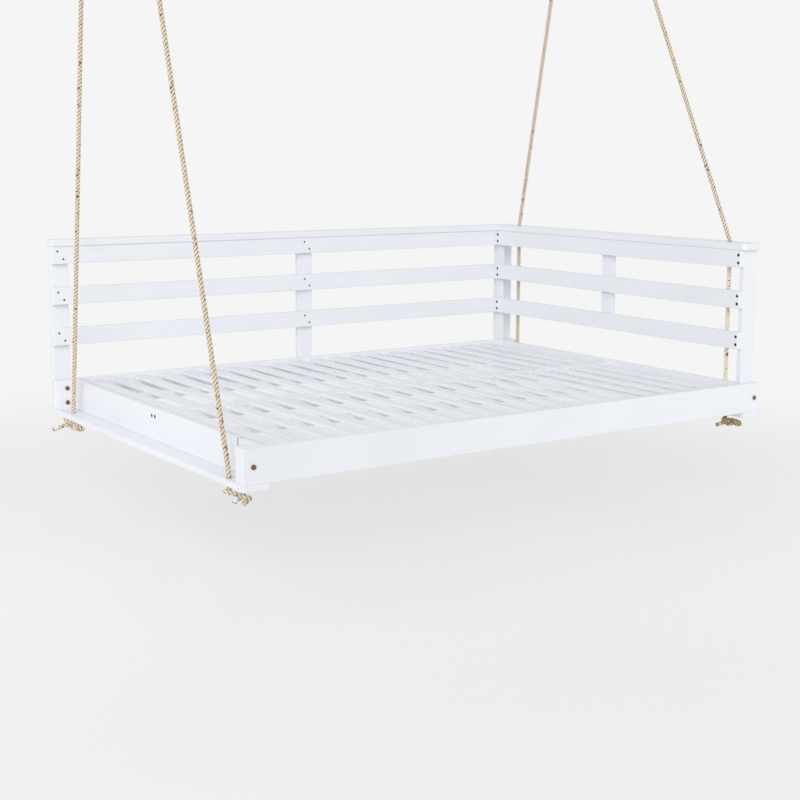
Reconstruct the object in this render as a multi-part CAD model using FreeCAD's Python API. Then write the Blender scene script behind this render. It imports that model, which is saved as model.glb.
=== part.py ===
import FreeCAD, Part

import math
import os

from FreeCAD import Vector

# Porch swing seat: a white slatted daybed that hangs from four ropes.
# All sizes are millimetres. Seat coordinates start at the front rail's front top left
# corner, with X to the right, Y to the back and Z up. The finished part is moved so that
# its origin is the middle of the ceiling plane that the four hanger plates bear on.

# Bed frame
length = 2030.0
frame_depth = 1378.0
frame_height = 101.0
front_rail_thickness = 24.0
back_rail_thickness = 20.0
end_inset = 60.0
end_rail_thickness = 20.0
front_corner_depth = 119.0
back_corner_depth = 96.0
corner_joint_gap = 1.0
end_block_thickness = 28.0
end_block_inset = 3.0
edge_radius = 2.0

# Deck of slats
slat_count = 20
slat_width = 43.5
slat_thickness = 10.0
slat_drop = 10.0
slat_margin_left = 33.0
slat_margin_right = 68.0
slat_clearance = 1.0
beam_thickness = 22.0
beam_height = 40.0
front_bay = 648.0
ledger_width = 25.0
ledger_height = 20.0
batten_width = 45.0
batten_height = 18.0
batten_shift = 20.0

# Hanger planks under both ends
plank_width = 80.0
plank_thickness = 19.0

# Backrest
board_width = 60.0
board_thickness = 20.0
board_heights = (119.0, 260.0, 401.0)
post_thickness = 24.0
left_post_inset = 4.0
right_post_inset = 0.0
cap_thickness = 23.0
cap_depth = 60.0
cap_overlap = 4.0

# Arm at the right end
arm_inset = 96.0
arm_post_thickness = 20.0
arm_upright_thickness = 16.0
arm_upright_overlap = 11.0
arm_middle = 705.0
arm_cap_width = 88.0
arm_cap_inset = 10.0
arm_cap_front = 8.0
arm_cap_corner = 13.0

# Fasteners
bolt_diameter = 8.0
bolt_head_diameter = 15.0
bolt_head_height = 4.0
bolt_socket_across = 5.0
bolt_socket_depth = 2.4
bolt_tip_past_nut = 2.0
front_bolt_inset = 30.5
front_bolt_drop = 51.5
back_bolt_inset = 33.0
back_bolt_drops = (26.5, 76.0)
nut_across = 13.0
nut_height = 6.5
screw_diameter = 4.5
screw_head_diameter = 8.0
backrest_screw_head = 7.5
arm_screw_head = 10.5
beam_screw_head = 11.5
screw_head_height = 3.0
board_screw_length = 38.0
arm_screw_length = 34.0
upright_screw_length = 32.0
end_grain_screw_length = 60.0
beam_screw_length = 60.0
beam_screw_drop = 15.0
plank_screw_length = 55.0
plank_screw_margin = 107.0
pin_diameter = 2.4
pin_set = 2.0
slat_pin_length = 24.0
cap_pin_length = 50.0
dowel_diameter = 10.0
dowel_length = 60.0
dowel_spacing = 50.0
hole_clearance = 0.1

# Ropes
rope_diameter = 15.0
rope_hole_diameter = 20.0
rope_gap = 0.5
front_left_hole = (19.0, 117.0)
back_left_hole = (28.0, frame_depth - 111.0)
front_right_hole = (length - 45.0, 120.0)
back_right_hole = (length - 45.0, frame_depth - 103.0)
swing_centre_y = 800.0
swing_centre_z = 2350.0
hanger_height = 1510.0
hanger_x = {
    "front_left": -3.0,
    "back_left": -25.0,
    "front_right": length - 156.0,
    "back_right": length - 96.0,
}

# Rope eyes, thimbles and their seizings
thimble_inner_radius = 20.0
thimble_wall = 2.5
thimble_width = 18.0
thimble_gap = 0.3
eye_shoulder_radius = 20.0
eye_leg_gap = 0.6
hang_gaps = {"front_left": 0.3, "back_left": 1.1, "front_right": 1.7, "back_right": 2.4}
seizing_length = 34.0
seizing_wall = 2.5
tail_past_seizing = 14.0
rope_bend_radius = 90.0

# Knots under the planks
knot_length = 78.0
knot_diameter = 32.0
knot_way = (0.8, -0.55, -0.45)
knot_shifts = {"front_left": 22.0, "back_left": 0.0, "front_right": 28.0, "back_right": 8.0}
knot_tails = {
    "front_left": (7.0, -15.0, -51.0),
    "back_left": (-66.0, 20.0, -37.0),
    "front_right": (-50.0, -14.0, -37.0),
    "back_right": (-60.0, 10.0, -36.0),
}
knot_gap = 0.5

# Ceiling hangers
hanger_rod_diameter = 10.0
hanger_leg_spacing = 54.0
hanger_bend_radius = 12.0
hanger_reach = 48.0
plate_length = 116.0
plate_width = 50.0
plate_thickness = 6.0
plate_hole_diameter = 9.0
plate_hole_spacing = 88.0

# Levels and planes that follow from the sizes above
frame_bottom = -frame_height
plank_bottom = frame_bottom - plank_thickness
slat_top = -slat_drop
slat_bottom = slat_top - slat_thickness
inner_left = end_inset + end_rail_thickness
inner_right = length - inner_left
back_rail_front = frame_depth - back_rail_thickness
end_rail_start = front_rail_thickness + front_corner_depth
end_rail_finish = back_rail_front - back_corner_depth
beam_front = front_rail_thickness + front_bay
beam_middle = beam_front + beam_thickness
beam_back = beam_middle + beam_thickness
post_front = frame_depth
post_back = post_front + post_thickness
cap_bottom = board_heights[-1] + board_width
cap_top = cap_bottom + cap_thickness
arm_inner = length - arm_inset
arm_outer = arm_inner + board_thickness
upright_outer = arm_outer + arm_upright_thickness
arm_upright_front = back_rail_front - arm_upright_overlap
arm_cap_left = length - arm_cap_inset - arm_cap_width
cap_front = back_rail_front - cap_overlap
rope_radius = rope_diameter / 2.0
ceiling_z = hanger_height + hanger_reach + plate_thickness
origin = Vector(length / 2.0, swing_centre_y, ceiling_z)

pieces = {}


def board(x0, x1, y0, y1, z0, z1, radius=None):
    """A sawn board between two corners, with every edge eased."""
    solid = Part.makeBox(x1 - x0, y1 - y0, z1 - z0, Vector(x0, y0, z0))
    smallest = min(x1 - x0, y1 - y0, z1 - z0)
    ease = min(edge_radius if radius is None else radius, smallest / 3.0)
    return solid.makeFillet(ease, solid.Edges)


def rod(start, direction, size, reach):
    """A round bar from a start point along a direction."""
    return Part.makeCylinder(size / 2.0, reach, start, direction)


def screw_shape(head, direction, reach, head_size, slack=0.0):
    """A flat-headed wood screw: its head starts at the given point and it runs along direction."""
    flat = rod(head, direction, head_size + 2.0 * slack, screw_head_height)
    shank = rod(head, direction, screw_diameter + 2.0 * slack, reach + slack)
    return flat.fuse(shank).removeSplitter()


def drive_screws(name, screws, reach, head_size, through):
    """Make one node of like screws and bore their holes in the pieces that they pass through.

    Each screw is given by its head's place and the direction that it runs in."""
    pieces[name] = Part.makeCompound([screw_shape(p, d, reach, head_size) for p, d in screws])
    holes = Part.makeCompound([screw_shape(p, d, reach, head_size, hole_clearance) for p, d in screws])
    for piece in through:
        pieces[piece] = pieces[piece].cut(holes)


def bore(piece, x, y, z0, z1, diameter):
    """Bore a round vertical hole through a piece, from below z0 to above z1."""
    hole = rod(Vector(x, y, z0 - 1.0), Vector(0, 0, 1), diameter, z1 - z0 + 2.0)
    pieces[piece] = pieces[piece].cut(hole)


# Bed frame: long rails in front and behind, end rails between corner blocks, each joint
# open by a hair so that it shows as a fine dark line
pieces["front_rail"] = board(0, length, 0, front_rail_thickness, frame_bottom, 0)
pieces["back_rail"] = board(0, length, back_rail_front, post_front, frame_bottom, 0)
end_faces = {"left": end_inset, "right": length - inner_left}
corner_starts = {"left": front_rail_thickness, "right": front_rail_thickness + arm_post_thickness}
corner_blocks = []
for side, face in end_faces.items():
    inner = face + end_rail_thickness
    pieces[side + "_end_rail"] = board(face, inner, end_rail_start, end_rail_finish, frame_bottom, 0)
    for y0, y1 in (
        (corner_starts[side], end_rail_start - corner_joint_gap),
        (end_rail_finish + corner_joint_gap, back_rail_front),
    ):
        corner_blocks.append(board(face, inner, y0, y1, frame_bottom, 0))
pieces["corner_blocks"] = Part.makeCompound(corner_blocks)

block_back = front_rail_thickness + end_block_thickness
block_front = back_rail_front - end_block_thickness
right_block = length - end_inset
end_blocks = [
    board(end_block_inset, end_inset, front_rail_thickness, block_back, frame_bottom, 0),
    board(end_block_inset, end_inset, block_front, back_rail_front, frame_bottom, 0),
    board(right_block, length - end_block_inset, block_front, back_rail_front, frame_bottom, 0),
]
pieces["end_blocks"] = Part.makeCompound(end_blocks)

# Two beams side by side under the middle of the deck, and ledgers that carry the slats
beam_bottom = slat_top - beam_height
pieces["front_beam"] = board(inner_left, inner_right, beam_front, beam_middle, beam_bottom, slat_top)
pieces["back_beam"] = board(inner_left, inner_right, beam_middle, beam_back, beam_bottom, slat_top)
ledger_fronts = (
    front_rail_thickness,
    beam_front - ledger_width,
    beam_back,
    back_rail_front - ledger_width,
)
pieces["slat_ledgers"] = Part.makeCompound([
    board(inner_left, inner_right, y, y + ledger_width, slat_bottom - ledger_height, slat_bottom)
    for y in ledger_fronts
])

# A batten under the middle of each row of slats, a little behind the row's own middle
batten_middles = [
    (front_rail_thickness + beam_front) / 2.0 + batten_shift,
    (beam_back + back_rail_front) / 2.0 + batten_shift,
]
pieces["slat_battens"] = Part.makeCompound([
    board(inner_left, inner_right, y - batten_width / 2.0, y + batten_width / 2.0,
          slat_bottom - batten_height, slat_bottom)
    for y in batten_middles
])

# Two rows of slats, each lying on its ledgers and its batten
slat_starts = inner_left + slat_margin_left
slat_pitch = (inner_right - slat_margin_right - slat_width - slat_starts) / (slat_count - 1)
slat_rows = {
    "front_slats": (front_rail_thickness + slat_clearance, beam_front - slat_clearance),
    "back_slats": (beam_back + slat_clearance, back_rail_front - slat_clearance),
}
for row, (y0, y1) in slat_rows.items():
    slats = []
    for i in range(slat_count):
        x0 = slat_starts + i * slat_pitch
        slats.append(board(x0, x0 + slat_width, y0, y1, slat_bottom, slat_top))
    pieces[row] = Part.makeCompound(slats)

# Hanger planks: the ropes lift these, and they carry the whole frame
for side, x0 in (("left", 0.0), ("right", length - plank_width)):
    pieces[side + "_hanger_plank"] = board(x0, x0 + plank_width, 0, post_back, plank_bottom, frame_bottom)

# Backrest: three posts behind three boards, with a cap on top
post_lefts = {
    "left": left_post_inset,
    "middle": (length - board_width) / 2.0,
    "right": length - right_post_inset - board_width,
}
for place, x0 in post_lefts.items():
    pieces["back_post_" + place] = board(
        x0, x0 + board_width, post_front, post_back, frame_bottom, cap_bottom
    )
board_names = ("low", "middle", "top")
for place, z0 in zip(board_names, board_heights):
    pieces["back_board_" + place] = board(
        0, arm_outer, back_rail_front, post_front, z0, z0 + board_width
    )
    pieces["arm_board_" + place] = board(
        arm_inner, arm_outer, front_rail_thickness, back_rail_front, z0, z0 + board_width
    )
pieces["back_cap"] = board(0, length, cap_front, cap_front + cap_depth, cap_bottom, cap_top)

# Arm: boards on the inner side of a front post, a middle upright and a back upright
pieces["arm_front_post"] = board(
    arm_outer,
    arm_outer + board_width,
    front_rail_thickness,
    front_rail_thickness + arm_post_thickness,
    frame_bottom,
    cap_bottom,
)
pieces["arm_middle_upright"] = board(
    arm_outer,
    upright_outer,
    arm_middle - board_width / 2.0,
    arm_middle + board_width / 2.0,
    board_heights[0],
    cap_bottom,
)
pieces["arm_back_upright"] = board(
    arm_outer, upright_outer, arm_upright_front, post_back, 0, cap_bottom
)


def arm_cap():
    """The wide arm rest, with its two front corners rounded in plan and its edges eased."""
    solid = Part.makeBox(
        arm_cap_width,
        cap_front - arm_cap_front,
        cap_thickness,
        Vector(arm_cap_left, arm_cap_front, cap_bottom),
    )
    corners = [
        edge
        for edge in solid.Edges
        if abs(edge.BoundBox.YMin - arm_cap_front) < 0.01 and edge.BoundBox.ZLength > cap_thickness / 2.0
    ]
    rounded = solid.makeFillet(arm_cap_corner, corners)
    rims = [
        edge
        for edge in rounded.Edges
        if edge.BoundBox.ZLength < 0.01 and edge.BoundBox.YMin < cap_front - 1.0
    ]
    return rounded.makeFillet(edge_radius, rims)


pieces["arm_cap"] = arm_cap()

# Rope holes in the planks and in the arm cap
rope_holes = {
    "front_left": front_left_hole,
    "back_left": back_left_hole,
    "front_right": front_right_hole,
    "back_right": back_right_hole,
}
for place, (x, y) in rope_holes.items():
    side = place.split("_")[1]
    bore(side + "_hanger_plank", x, y, plank_bottom, frame_bottom, rope_hole_diameter)
    if side == "right":
        bore("arm_cap", x, y, cap_bottom, cap_top, rope_hole_diameter)

# Dowels that pin the end rails to their corner blocks
dowels = []
for side, face in end_faces.items():
    x = face + end_rail_thickness / 2.0
    for y in (end_rail_start, end_rail_finish):
        for z in (-(frame_height - dowel_spacing) / 2.0, -(frame_height + dowel_spacing) / 2.0):
            dowels.append((Vector(x, y - dowel_length / 2.0, z), Vector(0, 1, 0)))
pieces["end_dowels"] = Part.makeCompound([rod(p, d, dowel_diameter, dowel_length) for p, d in dowels])
dowel_holes = Part.makeCompound([
    rod(p - d * hole_clearance, d, dowel_diameter + 2.0 * hole_clearance, dowel_length + 2.0 * hole_clearance)
    for p, d in dowels
])
for piece in ("left_end_rail", "right_end_rail", "corner_blocks"):
    pieces[piece] = pieces[piece].cut(dowel_holes)


def hexagon(centre, direction, across, reach):
    """A hexagonal bar of the given width across flats."""
    radius = across / math.sqrt(3.0)
    points = [
        Vector(radius * math.cos(math.radians(60 * i)), 0, radius * math.sin(math.radians(60 * i)))
        for i in range(7)
    ]
    face = Part.Face(Part.makePolygon([centre + p for p in points]))
    return face.extrude(direction * reach)


# Bolts along Y with button heads in front and nuts behind
back_grip = post_back - block_front
bolts = [
    (front_bolt_inset, 0.0, -front_bolt_drop, block_back),
    (length - front_bolt_inset, 0.0, -front_bolt_drop, front_rail_thickness + arm_post_thickness),
]
for drop in back_bolt_drops:
    bolts.append((back_bolt_inset, block_front, -drop, back_grip))
    bolts.append((length - back_bolt_inset, block_front, -drop, back_grip))
bolt_solids = []
nut_solids = []
bolt_holes = []
forward = Vector(0, 1, 0)
for x, y, z, grip in bolts:
    seat = Vector(x, y, z)
    shank = rod(seat, forward, bolt_diameter, grip + nut_height + bolt_tip_past_nut)
    head = rod(seat - forward * bolt_head_height, forward, bolt_head_diameter, bolt_head_height)
    rim = [e for e in head.Edges if e.BoundBox.YLength < 0.01 and e.BoundBox.YMin < y - 1.0]
    head = head.makeFillet(bolt_head_height * 0.4, rim)
    socket = hexagon(seat - forward * bolt_head_height, forward, bolt_socket_across, bolt_socket_depth)
    bolt_solids.append(head.fuse(shank).removeSplitter().cut(socket))
    nut = hexagon(seat + forward * grip, forward, nut_across, nut_height)
    nut_bore = rod(seat + forward * grip, forward, bolt_diameter + 2.0 * hole_clearance, nut_height)
    nut_solids.append(nut.cut(nut_bore))
    bolt_holes.append(rod(seat - forward, forward, bolt_diameter + 2.0 * hole_clearance, grip + 2.0))
pieces["frame_bolts"] = Part.makeCompound(bolt_solids)
pieces["frame_nuts"] = Part.makeCompound(nut_solids)
bolt_bores = Part.makeCompound(bolt_holes)
bolted = ("front_rail", "end_blocks", "arm_front_post", "back_rail", "back_post_left", "back_post_right")
for piece in bolted:
    pieces[piece] = pieces[piece].cut(bolt_bores)

# Screws of the backrest boards: two on a diagonal at each post, driven from the front, and
# two from behind that hold the middle post to the back rail
high_screw = (16.0, board_width - 17.0)
low_screw = (37.0, 16.0)
back_heads = []
for place in ("left", "middle"):
    for z0 in board_heights:
        for dx, dz in (high_screw, low_screw):
            back_heads.append((Vector(post_lefts[place] + dx, back_rail_front, z0 + dz), forward))
for dx, dz in ((high_screw[0], -low_screw[1]), (low_screw[0], -frame_height + low_screw[1])):
    back_heads.append((Vector(post_lefts["middle"] + dx, post_back, dz), forward * -1.0))
back_boards = ["back_board_" + place for place in board_names]
drive_screws(
    "backrest_screws",
    back_heads,
    board_screw_length,
    backrest_screw_head,
    back_boards + ["back_rail", "back_post_left", "back_post_middle"],
)

# Screws of the arm boards: two, one above the other, at each end, from the inner side
arm_screw_y = (front_rail_thickness + arm_post_thickness / 2.0, back_rail_front - arm_upright_overlap / 2.0)
arm_heads = []
for y in arm_screw_y:
    for z0 in board_heights:
        for dz in (low_screw[1], high_screw[1]):
            arm_heads.append((Vector(arm_inner, y, z0 + dz), Vector(1, 0, 0)))
arm_boards = ["arm_board_" + place for place in board_names]
drive_screws(
    "arm_screws",
    arm_heads,
    arm_screw_length,
    arm_screw_head,
    arm_boards + ["arm_front_post", "arm_back_upright"],
)

# Screws from outside: through the middle upright into the arm boards, and through the
# back upright into the ends of the backrest boards
for name, y, reach, upright, boards in (
    ("middle_upright_screws", arm_middle, upright_screw_length, "arm_middle_upright", arm_boards),
    (
        "back_upright_screws",
        back_rail_front + board_thickness / 2.0,
        end_grain_screw_length,
        "arm_back_upright",
        back_boards,
    ),
):
    heads = [
        (Vector(upright_outer, y, z0 + dz), Vector(-1, 0, 0))
        for z0 in board_heights
        for dz in (low_screw[1], high_screw[1])
    ]
    drive_screws(name, heads, reach, screw_head_diameter, boards + [upright])

# Screws through the end rails into the ends of the two beams, and from below through the
# hanger planks into the end rails and the corner blocks
beam_screws = []
plank_screws = []
for face, inward in ((end_inset, 1), (length - end_inset, -1)):
    for y in (beam_middle - beam_thickness / 2.0, beam_middle + beam_thickness / 2.0):
        beam_screws.append((Vector(face, y, slat_top - beam_screw_drop), Vector(inward, 0, 0)))
    for y in (
        (end_rail_start + front_rail_thickness) / 2.0,
        end_rail_start + plank_screw_margin,
        (end_rail_start + end_rail_finish) / 2.0,
        end_rail_finish - plank_screw_margin,
        (end_rail_finish + back_rail_front) / 2.0,
    ):
        x = face + inward * end_rail_thickness / 2.0
        plank_screws.append((Vector(x, y, plank_bottom), Vector(0, 0, 1)))
drive_screws(
    "beam_screws",
    beam_screws,
    beam_screw_length,
    beam_screw_head,
    ["left_end_rail", "right_end_rail", "front_beam", "back_beam"],
)
drive_screws(
    "plank_screws",
    plank_screws,
    plank_screw_length,
    screw_head_diameter,
    ["left_hanger_plank", "right_hanger_plank", "left_end_rail", "right_end_rail", "corner_blocks"],
)


def drive_pins(name, tops, reach, through):
    """Make one node of headless pins driven down and set below the surface, and their holes."""
    down = Vector(0, 0, -1)
    starts = [top + down * pin_set for top in tops]
    slack = Vector(0, 0, hole_clearance)
    bores = [
        rod(p + slack, down, pin_diameter + 2.0 * hole_clearance, reach + 2.0 * hole_clearance)
        for p in starts
    ]
    pieces[name] = Part.makeCompound([rod(p, down, pin_diameter, reach) for p in starts])
    holes = Part.makeCompound(bores)
    for piece in through:
        pieces[piece] = pieces[piece].cut(holes)


# Pins that hold each slat to its two ledgers and its batten
slat_pin_tops = []
for i in range(slat_count):
    x = slat_starts + i * slat_pitch + slat_width / 2.0
    slat_pin_tops += [Vector(x, y + ledger_width / 2.0, slat_top) for y in ledger_fronts]
    slat_pin_tops += [Vector(x, y, slat_top) for y in batten_middles]
drive_pins(
    "slat_pins",
    slat_pin_tops,
    slat_pin_length,
    ["front_slats", "back_slats", "slat_ledgers", "slat_battens"],
)

# Pins that hold the caps to the posts, the uprights and the top boards
back_cap_pins = [Vector(x0 + board_width / 2.0, post_front + post_thickness / 2.0, cap_top)
                 for x0 in post_lefts.values()]
arm_cap_pins = [
    Vector(arm_outer + board_width / 2.0, front_rail_thickness + arm_post_thickness / 2.0, cap_top),
    Vector(arm_outer + arm_upright_thickness / 2.0, arm_middle - board_width * 0.25, cap_top),
]
for share in (0.25, 0.5, 0.75):
    back_cap_pins.append(Vector(length * share - board_width, back_rail_front + board_thickness / 2.0, cap_top))
    arm_cap_pins.append(Vector(arm_inner + board_thickness / 2.0, frame_depth * share - board_width, cap_top))
drive_pins(
    "cap_pins",
    back_cap_pins + arm_cap_pins,
    cap_pin_length,
    ["back_cap", "arm_cap", "back_board_top", "arm_board_top", "arm_front_post", "arm_middle_upright"]
    + ["back_post_" + place for place in post_lefts],
)


def tube(edges, diameter):
    """A round tube along tangent edges."""
    path = Part.Wire(edges)
    start = edges[0].valueAt(edges[0].FirstParameter)
    tangent = edges[0].tangentAt(edges[0].FirstParameter)
    profile = Part.Wire(Part.Circle(start, tangent, diameter / 2.0).toShape())
    return path.makePipeShell([profile], True, False)


def arc(a, b, c):
    """The arc through three points, as an edge."""
    return Part.Arc(a, b, c).toShape()


def line(a, b):
    """A straight edge between two points."""
    return Part.LineSegment(a, b).toShape()


def rounded_path(points, radius):
    """Straight runs between points, joined at each inner point by a tangent arc."""
    edges = []
    start = points[0]
    for before, corner, after in zip(points, points[1:], points[2:]):
        towards = (before - corner).normalize()
        away = (after - corner).normalize()
        half_turn = (math.pi - towards.getAngle(away)) / 2.0
        setback = radius * math.tan(half_turn)
        middle = (towards + away).normalize()
        centre = corner + middle * (radius / math.cos(half_turn))
        enter = corner + towards * setback
        leave = corner + away * setback
        edges.append(line(start, enter))
        edges.append(arc(enter, centre - middle * radius, leave))
        start = leave
    edges.append(line(start, points[-1]))
    return edges


# Each rope's hanging point, pivot hole and the plane of its eye
eye_radius = thimble_inner_radius + thimble_wall + thimble_gap + rope_radius
leg_offset = rope_radius + eye_leg_gap / 2.0
shoulder_x = leg_offset + eye_shoulder_radius
shoulder_drop = math.sqrt((eye_radius + eye_shoulder_radius) ** 2 - shoulder_x ** 2)


class RopePlan:
    """Where one rope hangs: its hanger bar, its pivot in the seat and the plane of its eye."""

    def __init__(self, place):
        x, y = rope_holes[place]
        self.place = place
        self.side = place.split("_")[1]
        level = frame_bottom if self.side == "left" else cap_top
        self.pivot = Vector(x, y, level)
        rise = (hanger_height - level) / (swing_centre_z - level)
        self.bar = Vector(hanger_x[place], y + (swing_centre_y - y) * rise, hanger_height)
        down = Vector(0, self.pivot.y - self.bar.y, self.pivot.z - self.bar.z).normalize()
        self.up = down * -1.0
        self.across = Vector(1, 0, 0).cross(self.up)
        fall = thimble_inner_radius - hanger_rod_diameter / 2.0 - hang_gaps[place]
        self.eye = self.bar + down * fall

    def at(self, across, up):
        """A point in the plane of the eye, from the eye's centre."""
        return self.eye + self.across * across + self.up * up


def eye_edges(plan, inset):
    """The eye's outline: up one leg, over a shoulder, round the ring and down the other leg.

    inset is how far the line lies inside the rope's own centre line."""
    ring = eye_radius - inset
    shoulder = eye_shoulder_radius + inset
    angle = math.atan2(shoulder_drop, shoulder_x)
    meet = plan.at(ring * math.cos(angle), -ring * math.sin(angle))
    meet_left = plan.at(-ring * math.cos(angle), -ring * math.sin(angle))

    def on_shoulder(side, turn):
        return plan.at(side * (shoulder_x - shoulder * math.cos(turn)), shoulder * math.sin(turn) - shoulder_drop)

    lowest = math.acos(min(1.0, (shoulder_x - 0.4) / shoulder)) if inset > 0 else 0.0
    return [
        arc(on_shoulder(1, lowest), on_shoulder(1, (lowest + angle) / 2.0), meet),
        arc(meet, plan.at(0, ring), meet_left),
        arc(meet_left, on_shoulder(-1, (lowest + angle) / 2.0), on_shoulder(-1, lowest)),
    ]


def rope(plan):
    """One rope from its pivot in the seat to its eye on the hanger, and back down its tail.

    The swept tube's volume is printed beside its section times its path's length."""
    leg_top = plan.at(leg_offset, -shoulder_drop)
    leg_foot = plan.at(leg_offset, -shoulder_drop - seizing_length)
    tail_top = plan.at(-leg_offset, -shoulder_drop)
    tail_end = plan.at(-leg_offset, -shoulder_drop - seizing_length - tail_past_seizing)
    standing = rounded_path([plan.pivot, leg_foot - plan.up * 12.0, leg_top], rope_bend_radius)
    edges = standing + eye_edges(plan, 0.0) + [line(tail_top, tail_end)]
    swept = tube(edges, rope_diameter)
    expected = math.pi * rope_radius ** 2 * sum(edge.Length for edge in edges)
    print(f"{plan.place}: tube {swept.Volume / 1000.0:.2f} cm3, section times length {expected / 1000.0:.2f} cm3")
    foot = Part.makeSphere(rope_radius, plan.pivot)
    return swept.fuse(foot).removeSplitter()


def thimble(plan):
    """The steel thimble that lines the eye: a band bent to the eye's inner side."""
    outer = eye_edges(plan, rope_radius + thimble_gap)
    inner = eye_edges(plan, rope_radius + thimble_gap + thimble_wall)
    ends = []
    for a, b in ((outer[0], inner[0]), (outer[-1], inner[-1])):
        first = a is outer[0]
        p = a.valueAt(a.FirstParameter if first else a.LastParameter)
        q = b.valueAt(b.FirstParameter if first else b.LastParameter)
        ends.append(line(p, q))
    outline = Part.Wire(Part.__sortEdges__(outer + inner + ends))
    band = Part.Face(outline).extrude(Vector(thimble_width, 0, 0))
    band.translate(Vector(-thimble_width / 2.0, 0, 0))
    return band


def seizing(plan, rope_solid):
    """The tight lashing that holds the tail against the rope below the eye."""
    radius = rope_radius + seizing_wall
    low = -shoulder_drop - seizing_length
    right = Part.makeCylinder(radius, seizing_length, plan.at(leg_offset, low), plan.up)
    left = Part.makeCylinder(radius, seizing_length, plan.at(-leg_offset, low), plan.up)
    corners = [
        plan.at(side * leg_offset, low) + Vector(face * radius, 0, 0)
        for side, face in ((-1, -1), (1, -1), (1, 1), (-1, 1), (-1, -1))
    ]
    middle = Part.Face(Part.makePolygon(corners)).extrude(plan.up * seizing_length)
    sleeve = right.fuse(left).fuse(middle).removeSplitter()
    return sleeve.cut(rope_solid)


def hanger(plan):
    """A square-bottomed steel loop under its ceiling plate."""
    half = hanger_leg_spacing / 2.0
    top = ceiling_z - plate_thickness
    points = [
        Vector(plan.bar.x - half, plan.bar.y, top),
        Vector(plan.bar.x - half, plan.bar.y, plan.bar.z),
        Vector(plan.bar.x + half, plan.bar.y, plan.bar.z),
        Vector(plan.bar.x + half, plan.bar.y, top),
    ]
    return tube(rounded_path(points, hanger_bend_radius), hanger_rod_diameter)


def plate(plan):
    """The ceiling plate, with a screw hole at each end."""
    x, y = plan.bar.x, plan.bar.y
    solid = Part.makeBox(
        plate_length,
        plate_width,
        plate_thickness,
        Vector(x - plate_length / 2.0, y - plate_width / 2.0, ceiling_z - plate_thickness),
    )
    upright = [edge for edge in solid.Edges if edge.BoundBox.ZLength > plate_thickness / 2.0]
    solid = solid.makeFillet(plate_width / 5.0, upright)
    for side in (-1, 1):
        at = Vector(x + side * plate_hole_spacing / 2.0, y, ceiling_z - plate_thickness - 1.0)
        solid = solid.cut(rod(at, Vector(0, 0, 1), plate_hole_diameter, plate_thickness + 2.0))
    return solid


def knot(place):
    """The stopper knot under a plank: a neck in the hole, the knot's body and its tail.

    Its higher end bears on the plank, or on the rope hole's edge where it lies under the hole."""
    x, y = rope_holes[place]
    hole = Vector(x, y, plank_bottom)
    way = Vector(*knot_way).normalize()
    radius = knot_diameter / 2.0
    half = knot_length / 2.0 - radius
    centre = hole + way * knot_shifts[place]
    low_end = centre + way * half
    high_end = centre - way * half
    past_edge = max(0.0, rope_hole_diameter / 2.0 - abs(half - knot_shifts[place]))
    rise = radius - math.sqrt(max(0.0, radius ** 2 - past_edge ** 2))
    drop = Vector(0, 0, rise - (radius + knot_gap + high_end.z - plank_bottom))
    body = Part.makeCylinder(radius, 2.0 * half, high_end + drop, way)
    for end in (high_end, low_end):
        body = body.fuse(Part.makeSphere(radius, end + drop))
    neck_foot = Vector(x, y, plank_bottom - radius)
    neck = rod(neck_foot, Vector(0, 0, 1), rope_diameter, neck_top(place) - neck_foot.z)
    tail_end = hole + Vector(*knot_tails[place])
    tail_start = centre + drop
    run = tail_end - tail_start
    tail = rod(tail_start, Vector(run).normalize(), rope_diameter, run.Length)
    return body.fuse(neck).fuse(tail).removeSplitter()


def neck_top(place):
    """How high the knot's neck stands: up to the rope's pivot, or half through a right plank."""
    if place.endswith("left"):
        return frame_bottom - rope_radius - rope_gap
    return plank_bottom + plank_thickness / 2.0


plans = {place: RopePlan(place) for place in rope_holes}
for place, plan in plans.items():
    pieces[place + "_rope"] = rope(plan)
    pieces[place + "_thimble"] = thimble(plan)
    pieces[place + "_seizing"] = seizing(plan, pieces[place + "_rope"])
    pieces[place + "_knot"] = knot(place)
    if plan.side == "right":
        x, y = rope_holes[place]
        low = neck_top(place)
        high = cap_top - rope_radius - rope_gap
        pieces[place + "_lower_rope"] = rod(Vector(x, y, low), Vector(0, 0, 1), rope_diameter, high - low)
pieces["rope_hangers"] = Part.makeCompound([hanger(plan) for plan in plans.values()])
pieces["ceiling_plates"] = Part.makeCompound([plate(plan) for plan in plans.values()])

os.makedirs("parts", exist_ok=True)
for name, shape in pieces.items():
    moved = shape.copy()
    moved.translate(origin * -1.0)
    moved.exportStep("parts/" + name + ".step")
    solids = moved.Solids
    state = "valid" if moved.isValid() else "INVALID"
    print(f"{name}: {len(solids)} solids, {moved.Volume / 1000.0:.1f} cm3, {state}")

for place, plan in plans.items():
    run = plan.bar.distanceToPoint(plan.pivot)
    print(f"{place}: pivot {tuple(round(v, 2) for v in plan.pivot - origin)},"
          f" bar {tuple(round(v, 2) for v in plan.bar - origin)}, straight length {run:.1f} mm")
print(f"radii: bends {rope_bend_radius}, shoulders {eye_shoulder_radius}, eye {eye_radius}")
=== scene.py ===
import math

import bpy
import numpy as np
from mathutils import Matrix, Vector


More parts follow.
